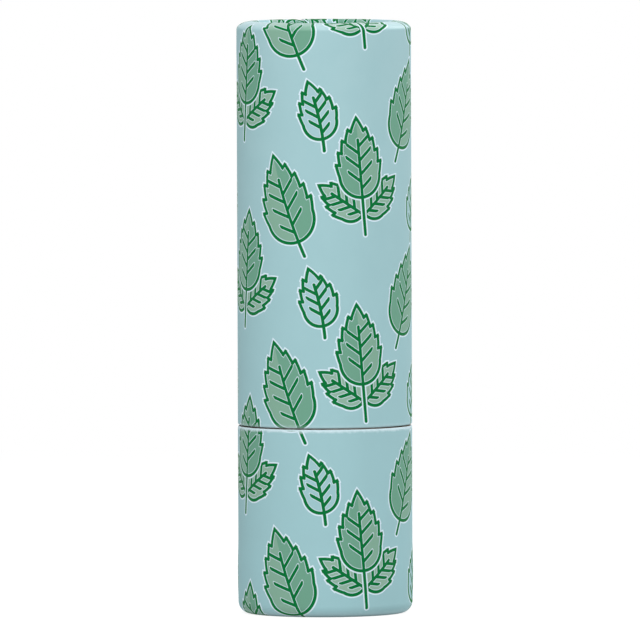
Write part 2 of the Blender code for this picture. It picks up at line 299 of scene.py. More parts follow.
def new_finish(name, plain):
    """A material with plain values on its shader, and its Object coordinates."""
    material = bpy.data.materials.new(name)
    material.use_nodes = True
    for label, value in plain.items():
        plug(material.node_tree.nodes["Principled BSDF"].inputs[label], value)
    return material, made(material.node_tree, "ShaderNodeTexCoord", output="Object")


def finished(material, colour, roughness, height, depth, gloss=None):
    """The material, with its varying colour, roughness, relief and gloss joined to its shader."""
    tree = material.node_tree
    relief = {"Height": height, "Distance": depth, "Strength": 1.0}
    varied = {"Base Color": colour, "Roughness": roughness}
    varied["Normal"] = made(tree, "ShaderNodeBump", relief, output="Normal")
    for label, value in (varied | (gloss or {})).items():
        plug(tree.nodes["Principled BSDF"].inputs[label], value)
    return material


def moulded_surface_group():
    """Fine sparked grain and slow flow marks, as on plastic that comes from a tool."""
    tree, given = open_group("moulded_surface", {"Position": None, "Grain": 0.05 * MM, "Flow": 3.0 * MM})
    marks = noise(given["Position"], given["Grain"], detail=3.0), noise(given["Position"], given["Flow"])
    tone = between(weighed(marks, GRAIN_TONE_SHARES), *NOISE_RANGE)
    return close_group(tree, {"Relief": weighed(marks, GRAIN_RELIEF_SHARES), "Tone": tone})


moulded_surface = moulded_surface_group()


def moulded_plastic(name, colours, roughnesses, depth, plain):
    """Moulded plastic between two near colours, the deeper one first, and two roughnesses."""
    material, place = new_finish(name, plain)
    surface = use_group(moulded_surface, {"Position": place})
    smooth, rough = roughnesses
    roughness = smooth + surface["Tone"] * (rough - smooth)
    return finished(material, mixed(surface["Tone"], *colours), roughness, surface["Relief"], depth)


white_plastic = moulded_plastic(
    "white_plastic",
    WHITE_PLASTIC,
    WHITE_ROUGHNESS,
    grain_depth,
    {"Subsurface Weight": 0.12, "Subsurface Radius": (1.0, 0.9, 0.8), "Subsurface Scale": 0.5 * MM},
)
insert_low, insert_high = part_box("base_insert")
insert_radius = insert_high.x
insert = turned_soft(
    "insert_cup",
    (0, insert_low.z, 0),
    (insert_radius, insert_low.z, insert_foot_easing),
    (insert_radius, insert_high.z, thin_easing),
    (insert_bore, insert_high.z, insert_mouth_easing),
    (insert_bore, insert_low.z + insert_floor, insert_foot_easing),
    (0, insert_low.z + insert_floor, 0),
)
key_foot = insert_low.z + insert_floor / 2
keys = bars("keys", key_count, insert_bore - key_reach, insert_bore + key_root, key_width, key_foot, key_top)
carved(insert, ("UNION", keys))
seat(insert, white_plastic, "base", "base_insert")


# Guide sleeve: the moulded body that the whole mechanism hangs on. A keyed skirt holds it in the insert, two
# upright slots lead the cup's lugs, and the flange at its mouth snaps over the cam and keeps it down.
guide_bore = 6.8 * MM
guide_radius = 7.5 * MM
guide_floor = 0.8 * MM
skirt_radius = 8.85 * MM
skirt_wall = 0.7 * MM
skirt_height = 3.2 * MM
flange_radius = 8.05 * MM
flange_height = 0.9 * MM
flange_easing = 0.3 * MM
mouth_easing = 0.12 * MM
lug_height = 9.57 * MM
lift = 24.0 * MM
slot_half_width = 1.12 * MM
SLOT_END_STEPS = 16
notch_gap = 0.1 * MM
overrun = 1.0 * MM


def slot_bar(name):
    """A round-ended bar that cuts both slots of the guide at once."""
    form = bmesh.new()
    reach = guide_radius + overrun
    rim = []
    for middle, start in ((lug_height, pi), (lug_height + lift, 0)):
        for step in range(SLOT_END_STEPS + 1):
            angle = start + pi * step / SLOT_END_STEPS
            across = slot_half_width * cos(angle)
            rim.append(form.verts.new((-reach, across, middle + slot_half_width * sin(angle))))
    grown = bmesh.ops.extrude_face_region(form, geom=[form.faces.new(rim)])
    moved = [item for item in grown["geom"] if isinstance(item, bmesh.types.BMVert)]
    bmesh.ops.translate(form, verts=moved, vec=(2 * reach, 0, 0))
    return piece_from(form, name)


guide_low, guide_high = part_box("guide_sleeve")
skirt_top = guide_low.z + skirt_height
skirt_web = skirt_top - skirt_wall
flange_foot = guide_high.z - flange_height
guide = turned_soft(
    "guide_body",
    (0, guide_low.z, 0),
    (guide_radius, guide_low.z, thin_easing),
    (guide_radius, skirt_web, thin_easing),
    (skirt_radius - skirt_wall, skirt_web, thin_easing),
    (skirt_radius - skirt_wall, guide_low.z, thin_easing),
    (skirt_radius, guide_low.z, thin_easing),
    (skirt_radius, skirt_top, thin_easing),
    (guide_radius, skirt_top, thin_easing),
    (guide_radius, flange_foot, thin_easing),
    (flange_radius, flange_foot, thin_easing),
    (flange_radius, guide_high.z, flange_easing),
    (guide_bore, guide_high.z, mouth_easing),
    (guide_bore, guide_low.z + guide_floor, thin_easing),
    (0, guide_low.z + guide_floor, 0),
)
notch_reach = insert_bore - key_reach - notch_gap
notch_width = key_width + 2 * notch_gap
notch_foot = guide_low.z - overrun
notches = bars("notches", key_count, notch_reach, insert_bore, notch_width, notch_foot, key_top + notch_gap)
carved(guide, ("DIFFERENCE", slot_bar("slots")), ("DIFFERENCE", notches))
seat(guide, white_plastic, "base", "guide_sleeve")


# Friction ring: a small ring of soft clear rubber, rolled onto the guide below the cam. It rubs on the shell
# and keeps the balm where it was turned to.
RING_RUBBER = ((0.50, 0.51, 0.49), (0.58, 0.59, 0.57))
RUBBER_ROUGHNESS = (0.4, 0.55)
soft_rubber = moulded_plastic(
    "soft_rubber",
    RING_RUBBER,
    RUBBER_ROUGHNESS,
    grain_depth,
    {"Subsurface Weight": 0.3, "Subsurface Radius": (1.0, 1.0, 0.9), "Subsurface Scale": 0.6 * MM},
)


def refinish(node, material):
    """Gives a CAD node that keeps its own shape a better material."""
    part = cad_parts[node]
    part.data.materials.clear()
    part.data.materials.append(material)
    part.data.shade_smooth()
    part.data.set_sharp_from_angle(angle=SHARP_ANGLE)


refinish("friction_ring", soft_rubber)


# Cam sleeve: a hard slick moulding, pressed into the shell, with two helical tracks right through its wall.
# The cup's lugs ride up the tracks when the shell is turned, and a film of grease lies on it.
CAM_PLASTIC = ((0.75, 0.76, 0.74), (0.82, 0.83, 0.82))
SLICK_ROUGHNESS = (0.22, 0.4)
grease_film = {"Coat Weight": 0.25, "Coat Roughness": 0.15}
slick_plastic = moulded_plastic("slick_plastic", CAM_PLASTIC, SLICK_ROUGHNESS, grain_depth / 2, grease_film)
refinish("cam_sleeve", slick_plastic)


# Shell: a thin drawn sleeve of aluminium round the cam, which is gripped to turn the mechanism. Its top is
# turned in over the cam, its foot is rounded, and fine lines from the polishing wheel run round it.
shell_wall = 0.3 * MM
shell_lip_radius = 8.15 * MM
shell_lip_easing = 0.45 * MM
shell_lip_inner_easing = 0.14 * MM
shell_edge_easing = 0.12 * MM
wheel_line_size = 0.035 * MM
wheel_line_length = 9.0 * MM
wheel_band_size = 1.6 * MM
wheel_line_depth = 0.003 * MM
smudge_size = 4.0 * MM
SATIN_METAL = ((0.56, 0.57, 0.585), (0.72, 0.73, 0.74))
METAL_TONE_SHARES = (0.5, 0.3, 0.2)
METAL_TONE_RANGE = (0.35, 0.65)
SMUDGE_RANGE = (0.45, 0.7)
METAL_ROUGHNESS = 0.24
WHEEL_LINE_ROUGHNESS = 0.12
SMUDGE_ROUGHNESS = 0.08


def satin_metal_finish():
    """Metal with wheel lines that run round the axis, in bands of a slightly different grey."""
    material, place = new_finish("satin_metal", {"Metallic": 1.0})
    x, y, height = split(place)
    stretch = wheel_line_size / wheel_line_length
    drawn_round = joined(x * stretch, y * stretch, height)
    lines = noise(drawn_round, wheel_line_size)
    bands = noise(drawn_round, wheel_band_size)
    smudges = noise(place, smudge_size, detail=3.0)
    tone = between(weighed((lines, bands, smudges), METAL_TONE_SHARES), *METAL_TONE_RANGE)
    dulled = between(smudges, *SMUDGE_RANGE)
    roughness = METAL_ROUGHNESS + lines * WHEEL_LINE_ROUGHNESS + dulled * SMUDGE_ROUGHNESS
    return finished(material, mixed(tone, *SATIN_METAL), roughness, lines, wheel_line_depth)


shell_low, shell_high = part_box("shell")
shell_radius = shell_high.x
shell_bore = shell_radius - shell_wall
shell = turned_soft(
    "shell_sleeve",
    (shell_radius, shell_low.z, shell_edge_easing),
    (shell_radius, shell_high.z, shell_lip_easing),
    (shell_lip_radius, shell_high.z, shell_edge_easing),
    (shell_lip_radius, shell_high.z - shell_wall, shell_edge_easing),
    (shell_bore, shell_high.z - shell_wall, shell_lip_inner_easing),
    (shell_bore, shell_low.z, shell_edge_easing),
)
seat(settle(shell), satin_metal_finish(), "shell", "shell")


# Balm cup: the moulded carrier that the balm is poured into. Six ribs inside key the balm, a vent in its
# floor lets air out when it is filled, and two round lugs reach through the guide into the cam.
cup_radius = 6.65 * MM
cup_bore = 6.15 * MM
cup_vent = 1.5 * MM
cup_floor = 0.8 * MM
cup_foot_easing = 0.3 * MM
cup_mouth_easing = 0.2 * MM
rib_count = 6
rib_width = 0.5 * MM
rib_reach = 0.35 * MM
rib_top = 13.35 * MM
lug_radius = 1.0 * MM
lug_easing = 0.12 * MM
lug_root = 6.4 * MM


def lug(name, side):
    """One round lug with an eased end, turned upright and then laid along X."""
    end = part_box("balm_cup")[1].x - lug_root
    corners = [(0, 0, 0), (lug_radius, 0, 0), (lug_radius, end, lug_easing), (0, end, 0)]
    peg = turned_soft(name, *corners, steps=4 * SLOT_END_STEPS)
    laid = Matrix.Translation((lug_root, 0, lug_height)) @ Matrix.Rotation(pi / 2, 4, "Y")
    peg.data.transform(Matrix.Rotation(side, 4, "Z") @ laid)
    return peg


cup_low, cup_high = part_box("balm_cup")
cup = turned_soft(
    "cup_moulding",
    (cup_vent, cup_low.z, thin_easing),
    (cup_radius, cup_low.z, cup_foot_easing),
    (cup_radius, cup_high.z, thin_easing),
    (cup_bore, cup_high.z, cup_mouth_easing),
    (cup_bore, cup_low.z + cup_floor, cup_foot_easing),
    (cup_vent, cup_low.z + cup_floor, thin_easing),
)
rib_foot = cup_low.z + cup_floor / 2
ribs = bars("ribs", rib_count, cup_bore - rib_reach, lug_root, rib_width, rib_foot, rib_top)
carved(cup, ("UNION", ribs), ("UNION", lug("lug_right", 0)), ("UNION", lug("lug_left", pi)))
seat(cup, white_plastic, "carrier", "balm_cup")


# Balm: a stick of wax and oils, cast in the cup and cut by its mould to a slanted tip with a soft edge. It is
# ivory, a little clear at the surface, with faint clouds where it set and a satin skin.
balm_radius = 6.05 * MM
balm_tip_length = 6.5 * MM
balm_edge_easing = 1.6 * MM
balm_crown = 0.5 * MM
balm_slant_share = 0.3
balm_length = 34.0 * MM
balm_gap = 0.1 * MM
BALM_SIDE_STEPS = 6
BALM_EDGE_STEPS = 14
BALM_CROWN_STEPS = 8
cloud_size = 2.6 * MM
skin_grain_size = 0.12 * MM
skin_grain_depth = 0.006 * MM
set_line_size = 0.5 * MM
SET_LINE_SQUEEZE_SHARE = 0.05
BALM_WAX = ((0.855, 0.815, 0.645), (0.88, 0.85, 0.70))
SKIN_RELIEF_SHARES = (0.6, 0.4)
BALM_ROUGHNESS = 0.34
SKIN_ROUGHNESS = 0.12
BALM_CLOUD_ROUGHNESS = 0.06


def balm_stick(name, bottom):
    """A turned stick whose rounded tip is then slanted down towards the front."""
    top = bottom + balm_length
    start = top - balm_tip_length
    shoulder = top - balm_slant_share * (balm_radius - balm_edge_easing) - balm_edge_easing
    outline = [(0, bottom), (balm_radius - balm_gap, bottom), (balm_radius, bottom + balm_gap)]
    for step in range(BALM_SIDE_STEPS):
        outline.append((balm_radius, start + (shoulder - start) * step / BALM_SIDE_STEPS))
    for step in range(BALM_EDGE_STEPS + 1):
        angle = pi / 2 * step / BALM_EDGE_STEPS
        radius = balm_radius - balm_edge_easing + balm_edge_easing * cos(angle)
        outline.append((radius, shoulder + balm_edge_easing * sin(angle)))
    crown_foot = shoulder + balm_edge_easing
    for step in range(1, BALM_CROWN_STEPS + 1):
        share = 1 - step / BALM_CROWN_STEPS
        radius = (balm_radius - balm_edge_easing) * share
        outline.append((radius, crown_foot + balm_crown * (1 - share**2)))
    stick = turned(name, outline)
    for corner in stick.data.vertices:
        share = min(1, max(0, (corner.co.z - start) / (shoulder - start)))
        corner.co.z += balm_slant_share * corner.co.y * share
    return stick


def balm_finish():
    """Wax with faint clouds, a fine set skin and light that sinks into it."""
    wax = {"Subsurface Weight": 0.35, "Subsurface Radius": (1.0, 0.75, 0.45), "Subsurface Scale": 1.2 * MM}
    material, place = new_finish("balm_wax", wax | {"Specular IOR Level": 0.4})
    clouds = between(noise(place, cloud_size, detail=4.0), *NOISE_RANGE)
    skin = noise(place, skin_grain_size, detail=3.0)
    x, y, height = split(place)
    layered = joined(x * SET_LINE_SQUEEZE_SHARE, y * SET_LINE_SQUEEZE_SHARE, height)
    relief = weighed((skin, noise(layered, set_line_size)), SKIN_RELIEF_SHARES)
    roughness = BALM_ROUGHNESS + skin * SKIN_ROUGHNESS + clouds * BALM_CLOUD_ROUGHNESS
    return finished(material, mixed(clouds, *BALM_WAX), roughness, relief, skin_grain_depth)


balm_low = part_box("balm")[0]
balm = balm_stick("balm_stick", balm_low.z)
groove_reach = cup_bore - rib_reach - balm_gap
groove_width = rib_width + 2 * balm_gap
groove_foot = balm_low.z - overrun
groove_outer = balm_radius + overrun
groove_top = rib_top + balm_gap
grooves = bars("grooves", rib_count, groove_reach, groove_outer, groove_width, groove_foot, groove_top)
carved(balm, ("DIFFERENCE", grooves))
seat(balm, balm_finish(), "carrier", "balm")


# Board tubes: several turns of thin grey board wound into a tube, one for the base and one for the cap. The
# closed end of each is rolled in to a bead, and the open end is cut square, so that its plies show.
outer_radius = 10.3 * MM
paper_thickness = 0.15 * MM
glue_gap = 0.05 * MM
board_depth = paper_thickness + glue_gap
board_bore = 9.4 * MM
seam_height = 22.2 * MM
seam_gap = 0.12 * MM
total_height = 70.0 * MM
rim_recess = 1.1 * MM
rim_flat = 0.15 * MM
rim_lip = 0.5 * MM
edge_easing = 0.22 * MM
lap_length = 3.0 * MM
lap_ramp = 1.5 * MM
lap_clearance = 0.02 * MM
CURL_STEPS = 14
SWELL_STEPS = 10
ply_thickness = 0.14 * MM
ply_depth = 0.03 * MM
speck_size = 0.12 * MM
fibre_length = 1.2 * MM
fibre_width = 0.06 * MM
FIBRE_SHARES = (0.6, 0.4)
GREY_BOARD = ((0.36, 0.31, 0.255), (0.50, 0.45, 0.38))
BOARD_TONE_SHARES = (0.5, 0.4, 0.2)
BOARD_RELIEF_SHARES = (0.4, 0.6)
PLY_RANGE = (0.15, 0.6)
SPECK_RANGE = (0.55, 0.7)
BOARD_ROUGHNESS = 0.82
BOARD_FIBRE_ROUGHNESS = 0.12
halves = {
    "base": {
        "Rim height": 0.0,
        "Inwards": 1.0,
        "Sheet length": seam_height,
        "Curl": 1.4 * MM,
        "Curl reach": 1.4 * MM,
        "Swell reach": 7.0 * MM,
    },
    "cap": {
        "Rim height": total_height,
        "Inwards": -1.0,
        "Sheet length": total_height - seam_height - seam_gap,
        "Curl": 0.95 * MM,
        "Curl reach": 1.8 * MM,
        "Swell reach": 4.0 * MM,
    },
}


def arc(centre, reach, rise, start, end, steps):
    """Points of an oval arc that is reach wide and rise high from its centre."""
    points = []
    for step in range(steps + 1):
        angle = start + (end - start) * step / steps
        points.append((centre[0] + reach * cos(angle), centre[1] + rise * sin(angle)))
    return points


def board_tube(name, half):
    """The board under the paper, pressed in a little where the paper laps over itself behind."""
    curl, curl_reach, length = half["Curl"], half["Curl reach"], half["Sheet length"]
    lip_middle = outer_radius - curl_reach - rim_flat
    lip_round = rim_lip - board_depth
    outline = [(lip_middle - lip_round, rim_recess)]
    outline += arc((lip_middle, rim_lip), lip_round, lip_round, pi, 3 * pi / 2, CURL_STEPS)
    reach, rise = curl_reach - board_depth, curl - board_depth
    outline += arc((outer_radius - curl_reach, curl), reach, rise, 3 * pi / 2, tau, CURL_STEPS)
    for step in range(1, SWELL_STEPS + 1):
        share = step / SWELL_STEPS
        radius = outer_radius - board_depth + half["Swell"] * sin(pi * share)
        outline.append((radius, curl + half["Swell reach"] * share))
    edge_radius = outer_radius - edge_easing
    edge_round = edge_easing - board_depth
    outline += arc((edge_radius, length - edge_easing), edge_round, edge_round, 0, pi / 2, EASE_STEPS)
    outline += [(edge_radius, length), (board_bore, length), (board_bore, rim_recess)]
    tube = turned(name, [(radius, half["Rim height"] + half["Inwards"] * run) for radius, run in outline])
    lap_angle = lap_length / outer_radius
    ramp_angle = lap_ramp / outer_radius
    for corner in tube.data.vertices:
        radius = Vector(corner.co[:2]).length
        angle = Vector((0, 1)).angle_signed(Vector(corner.co[:2])) % tau
        beyond = min((tau - angle) % tau, max(0, angle - lap_angle) * (angle < pi)) / ramp_angle
        near = max(0, 1 - beyond)
        if radius > board_bore + board_depth:
            press = near * (paper_thickness + lap_clearance) / radius
            corner.co.x *= 1 - press
            corner.co.y *= 1 - press
    return settle(tube)


def paper_fibre_group():
    """Felted paper: two sets of short fibres that cross, and slow clouds in the sheet."""
    inputs = {"Position": None, "Length": fibre_length, "Width": fibre_width, "Cloud": 2.5 * MM}
    tree, given = open_group("paper_fibre", inputs)
    x, y, z = split(given["Position"])
    long_scale = 1 / given["Length"]
    wide_scale = 1 / given["Width"]
    lying = noise(joined(x * long_scale, y * long_scale, z * wide_scale), 1.0)
    crossing = noise(joined((x + z) * wide_scale, y * wide_scale, (x - z) * long_scale), 1.0)
    clouds = between(noise(given["Position"], given["Cloud"], detail=3.0), *NOISE_RANGE)
    return close_group(tree, {"Relief": weighed((lying, crossing), FIBRE_SHARES), "Clouds": clouds})


paper_fibre = paper_fibre_group()


def grey_board_finish():
    """Recycled board: speckled fibres, and thin plies seen as rings on its cut end."""
    material, place = new_finish("grey_board", {"Specular IOR Level": 0.25})
    fibre = use_group(paper_fibre, {"Position": place})
    x, y, _ = split(place)
    radius = math("SQRT", x * x + y * y) + fibre["Clouds"] * ply_depth
    ply = between(abs(math("SINE", radius * (pi / ply_thickness))), *PLY_RANGE)
    speck = between(noise(place, speck_size, detail=1.0), *SPECK_RANGE)
    tone = weighed((fibre["Relief"], ply, speck), BOARD_TONE_SHARES)
    relief = weighed((fibre["Relief"], ply), BOARD_RELIEF_SHARES)
    roughness = BOARD_ROUGHNESS + fibre["Relief"] * BOARD_FIBRE_ROUGHNESS
    return finished(material, mixed(tone, *GREY_BOARD), roughness, relief, ply_depth)


grey_board = grey_board_finish()
for name, half in halves.items():
    half["Swell"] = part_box(f"{name}_wrap")[1].x - outer_radius
    seat(board_tube(f"{name}_board", half), grey_board, name, f"{name}_tube")


# End discs: punched rounds of board faced with mint paper, trapped behind the rolled rims of the foot and the
# cap. The punch leaves a soft pressed ring near the edge and a very slight hollow.
disc_pressed_radius = 7.2 * MM
disc_pressed_width = 0.5 * MM
disc_pressed_depth = 0.1 * MM
disc_hollow = 0.12 * MM
disc_edge_easing = 0.15 * MM
DISC_STEPS = 12
MINT_PAPER = (0.378, 0.598, 0.635)
MINT_PAPER_DEEP = (0.35, 0.568, 0.605)
DISC_ROUGHNESS = 0.6
PAPER_FIBRE_ROUGHNESS = 0.15
disc_fibre_depth = 0.012 * MM


def end_disc(name, node, faces_down):
    """A round whose face looks down or up, with its pressed ring and its hollow."""
    low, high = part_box(node)
    face, back, inwards = (low.z, high.z, 1) if faces_down else (high.z, low.z, -1)
    outline = []
    for step in range(DISC_STEPS):
        share = step / DISC_STEPS
        across = (disc_pressed_radius - disc_pressed_width) * share
        outline.append((across, face + inwards * disc_hollow * (1 - share**2)))
    outline += [
        (disc_pressed_radius - disc_pressed_width / 2, face),
        (disc_pressed_radius, face + inwards * disc_pressed_depth),
        (disc_pressed_radius + disc_pressed_width / 2, face),
        (disc_pressed_radius + disc_pressed_width, face),
        (high.x - disc_edge_easing, face),
        (high.x, face + inwards * disc_edge_easing),
        (high.x, back),
        (0, back),
    ]
    return settle(turned(name, outline))


def mint_paper_finish():
    """Uncoated mint paper, a touch deeper in its clouds."""
    material, place = new_finish("mint_paper", {"Specular IOR Level": 0.3})
    fibre = use_group(paper_fibre, {"Position": place})
    colour = mixed(fibre["Clouds"], MINT_PAPER_DEEP, MINT_PAPER)
    roughness = DISC_ROUGHNESS + fibre["Relief"] * PAPER_FIBRE_ROUGHNESS
    return finished(material, colour, roughness, fibre["Relief"], disc_fibre_depth)


mint_paper = mint_paper_finish()
seat(end_disc("foot_disc", "base_disc", True), mint_paper, "base", "base_disc")
seat(end_disc("top_disc", "cap_disc", False), mint_paper, "cap", "cap_disc")


# Cap liner: a thin tube of white paper wound on a slant and glued into the cap. It grips the shell when the
# cap is on, and its wound edge shows as a fine spiral line inside.
liner_bore = 8.9 * MM
liner_mouth_easing = 0.15 * MM
spiral_pitch = 17.0 * MM
spiral_line_width = 0.09 * MM
spiral_depth = 0.02 * MM
LINER_PAPER = ((0.79, 0.78, 0.745), (0.86, 0.85, 0.82))
LINER_TONE_SHARES = (0.6, 0.4)
LINER_RELIEF_SHARES = (0.4, 0.6)
LINER_ROUGHNESS = 0.62


def liner_finish():
    """White paper with the spiral butt line of its winding."""
    material, place = new_finish("liner_paper", {"Specular IOR Level": 0.3})
    fibre = use_group(paper_fibre, {"Position": place})
    x, y, height = split(place)
    turn = math("ARCTAN2", y, x) / tau
    wound = math("FRACT", height / spiral_pitch + turn + 1.0)
    line = between(abs(wound - 0.5) * spiral_pitch, spiral_line_width / 2, spiral_line_width)
    tone = weighed((fibre["Clouds"], line), LINER_TONE_SHARES)
    relief = weighed((fibre["Relief"], line), LINER_RELIEF_SHARES)
    roughness = LINER_ROUGHNESS + fibre["Relief"] * PAPER_FIBRE_ROUGHNESS
    return finished(material, mixed(tone, *LINER_PAPER), roughness, relief, spiral_depth)


liner_low, liner_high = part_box("cap_liner")
liner = turned_soft(
    "cap_lining",
    (liner_bore, liner_high.z, thin_easing),
    (liner_high.x, liner_high.z, thin_easing),
    (liner_high.x, liner_low.z, thin_easing),
    (liner_bore, liner_low.z, liner_mouth_easing),
)
seat(settle(liner), liner_finish(), "cap", "cap_liner")


# Printed paper: a sheet of satin mint paper wound once round each board tube and lapped over itself behind.
# It is rolled in with the board at the rim, where it puckers, and eased over the board's cut edge at the
# seam. The leaves were printed before winding, in a dark green line with a pale edge and a green fill.
PUCKER_SIZE_SHARE = 0.055
PUCKER_SLANT_SHARE = 0.4
EDGE_SHARE, WALL_SHARE, CURL_SHARE, FLAT_SHARE, LIP_SHARE = 0.06, 0.56, 0.76, 0.79, 0.94
FACING_RANGE = (0.4, 0.6)
LAP_CUT_RANGE = (1.4, 1.6)
HIDDEN_STRIP_SHARE = 0.04
CUT_STRIP_SHARE = 0.06
CUT_STEP_SHARE = 0.008
PRINTED_STRIP_SHARE = 0.09
BAND_FILL_SHARE = 0.99
paper_inputs = halves["base"] | {
    "Radius": outer_radius,
    "Rim flat": rim_flat,
    "Lip radius": rim_lip,
    "Rim recess": rim_recess,
    "Thickness": paper_thickness,
    "Edge radius": edge_easing,
    "Edge turn": radians(60),
    "Lap": lap_length,
    "Lap ramp": lap_ramp,
    "Lap rise": 0.04 * MM,
    "Lap clearance": lap_clearance,
    "Pucker depth": 0.035 * MM,
    "Seed": 0.0,
    "Bake bands": 1.0,
    "Columns": 260,
    "Rows": 104,
}


def store(geometry, name, kind, domain, value):
    """Keeps a value on the mesh under a name."""
    inputs = {"Geometry": geometry, "Name": name}
    kept = {"data_type": kind, "domain": domain}
    node = add_node(geometry.tree, "GeometryNodeStoreNamedAttribute", inputs, **kept)
    plug(next(slot for slot in node.inputs if slot.name == "Value" and slot.enabled), value)
    return Term(geometry.tree, node.outputs["Geometry"])


def wound_paper_tree(material):
    """A sheet as a thin block of columns and rows, wound round the axis and rolled at its rim."""
    tree, given = open_group("wound_paper", paper_inputs, "GeometryNodeTree")
    tree.is_modifier = True
    block = {"Vertices X": given["Columns"], "Vertices Y": given["Rows"], "Vertices Z": 2, "Size": (1, 1, 1)}
    geometry = made(tree, "GeometryNodeMeshCube", block, output="Mesh")
    x, y, z = split(made(tree, "GeometryNodeInputPosition"))
    facing_x, facing_y, facing = split(made(tree, "GeometryNodeInputNormal"))
    turn_share = x + 0.5
    row_share = y + 0.5
    skin_share = 0.5 - z

    radius, thickness, length = given["Radius"], given["Thickness"], given["Sheet length"]
    curl, curl_reach = given["Curl"], given["Curl reach"]
    lip, edge = given["Lip radius"], given["Edge radius"]
    lap_angle = given["Lap"] / radius
    ramp_angle = given["Lap ramp"] / radius
    angle = turn_share * (lap_angle + tau)
    under = 1 - between(angle, lap_angle, lap_angle + ramp_angle)
    over = between(angle, tau - ramp_angle, tau)

    edge_angle = given["Edge turn"] * (1 - between(row_share, 0.0, EDGE_SHARE, "LINEAR"))
    wall_run = between(row_share, EDGE_SHARE, WALL_SHARE) * (length - edge - curl)
    curl_angle = between(row_share, WALL_SHARE, CURL_SHARE, "LINEAR") * (pi / 2)
    flat = between(row_share, CURL_SHARE, FLAT_SHARE, "LINEAR") * given["Rim flat"]
    lip_angle = between(row_share, FLAT_SHARE, LIP_SHARE, "LINEAR") * (pi / 2)
    face = between(row_share, LIP_SHARE, 1.0, "LINEAR") * (given["Rim recess"] - lip)

    slanted = row_share * PUCKER_SLANT_SHARE + given["Seed"]
    around = joined(math("COSINE", angle), math("SINE", angle), slanted)
    puckers = noise(around, PUCKER_SIZE_SHARE, detail=1.0)
    puckered = between(row_share, (WALL_SHARE + CURL_SHARE) / 2, LIP_SHARE)
    rise = (1 - between(row_share, WALL_SHARE, CURL_SHARE)) * given["Lap rise"]
    depth = skin_share * thickness + puckers * puckered * given["Pucker depth"]
    depth = depth + under * (thickness + given["Lap clearance"] - rise)

    above_curl = length - edge - wall_run - curl
    swollen = math("SINE", between(above_curl, 0.0, given["Swell reach"], "LINEAR") * pi) * given["Swell"]
    around_radius = (
        radius
        + math("MAXIMUM", swollen, over * rise)
        - depth
        - (edge - depth) * (1 - math("COSINE", edge_angle))
        - (curl_reach - depth) * (1 - math("COSINE", curl_angle))
        - flat
        - (lip - depth) * math("SINE", lip_angle)
    )
    run = (
        length
        - edge
        + (edge - depth) * math("SINE", edge_angle)
        - wall_run
        - (curl - depth) * math("SINE", curl_angle)
        + (lip - depth) * (1 - math("COSINE", lip_angle))
        + face
    )
    drawn_curl = (curl + curl_reach) / 2 * curl_angle
    drawn_run = length - edge + edge * edge_angle - wall_run - drawn_curl - flat - lip * lip_angle - face
    drawn_length = length - edge + edge * given["Edge turn"]
    from_edge = drawn_length - drawn_run

    marks = {
        "printed_side": between(facing, *FACING_RANGE, "LINEAR"),
        "hidden_side": between(0 - facing, *FACING_RANGE, "LINEAR"),
        "cut_side": facing_x * 2 + facing_y,
        "bake_band": math("FLOOR", turn_share * given["Bake bands"]),
    }
    kept = []
    for label, value in marks.items():
        geometry = store(geometry, label, "FLOAT", "FACE", value)
        kept.append(made(tree, "GeometryNodeInputNamedAttribute", {"Name": label}, data_type="FLOAT"))
    printed, hidden, cut_side, bake_band = kept

    cut = 1 - printed - hidden
    lap_cut = between(abs(cut_side), *LAP_CUT_RANGE, "LINEAR") * cut
    bake_across = (turn_share * given["Bake bands"] - bake_band) * printed
    bake_across = bake_across + turn_share * (hidden + cut - lap_cut) + row_share * lap_cut
    laid_share = from_edge / (drawn_length + curl + lip + lip)
    banded = (bake_band + laid_share * BAND_FILL_SHARE) * (1 - PRINTED_STRIP_SHARE)
    printed_up = PRINTED_STRIP_SHARE + banded / given["Bake bands"]
    cut_up = CUT_STRIP_SHARE + cut_side * CUT_STEP_SHARE + skin_share * CUT_STEP_SHARE / 2
    bake_up = printed_up * printed + row_share * HIDDEN_STRIP_SHARE * hidden + cut_up * cut
    geometry = store(geometry, "OFBake", "FLOAT2", "CORNER", joined(bake_across, bake_up, bake_up))
    up = given["Rim height"] + given["Inwards"] * drawn_run
    on_print = joined((angle - pi) * radius, up, from_edge)
    geometry = store(geometry, "print", "FLOAT_VECTOR", "POINT", on_print)
    geometry = store(geometry, "rolled", "FLOAT", "POINT", (curl_angle + lip_angle) / (pi / 2))

    place = joined(
        0 - around_radius * math("SINE", angle),
        around_radius * math("COSINE", angle),
        given["Rim height"] + given["Inwards"] * run,
    )
    geometry = made(tree, "GeometryNodeSetPosition", {"Geometry": geometry, "Position": place})
    is_base = math("GREATER_THAN", given["Inwards"], 0.0)
    geometry = made(tree, "GeometryNodeFlipFaces", {"Mesh": geometry, "Selection": is_base})
    geometry = made(tree, "GeometryNodeRealizeInstances", {"Geometry": geometry})
    geometry = made(tree, "GeometryNodeSetMaterial", {"Geometry": geometry, "Material": material})
    return close_group(tree, {"Geometry": geometry})


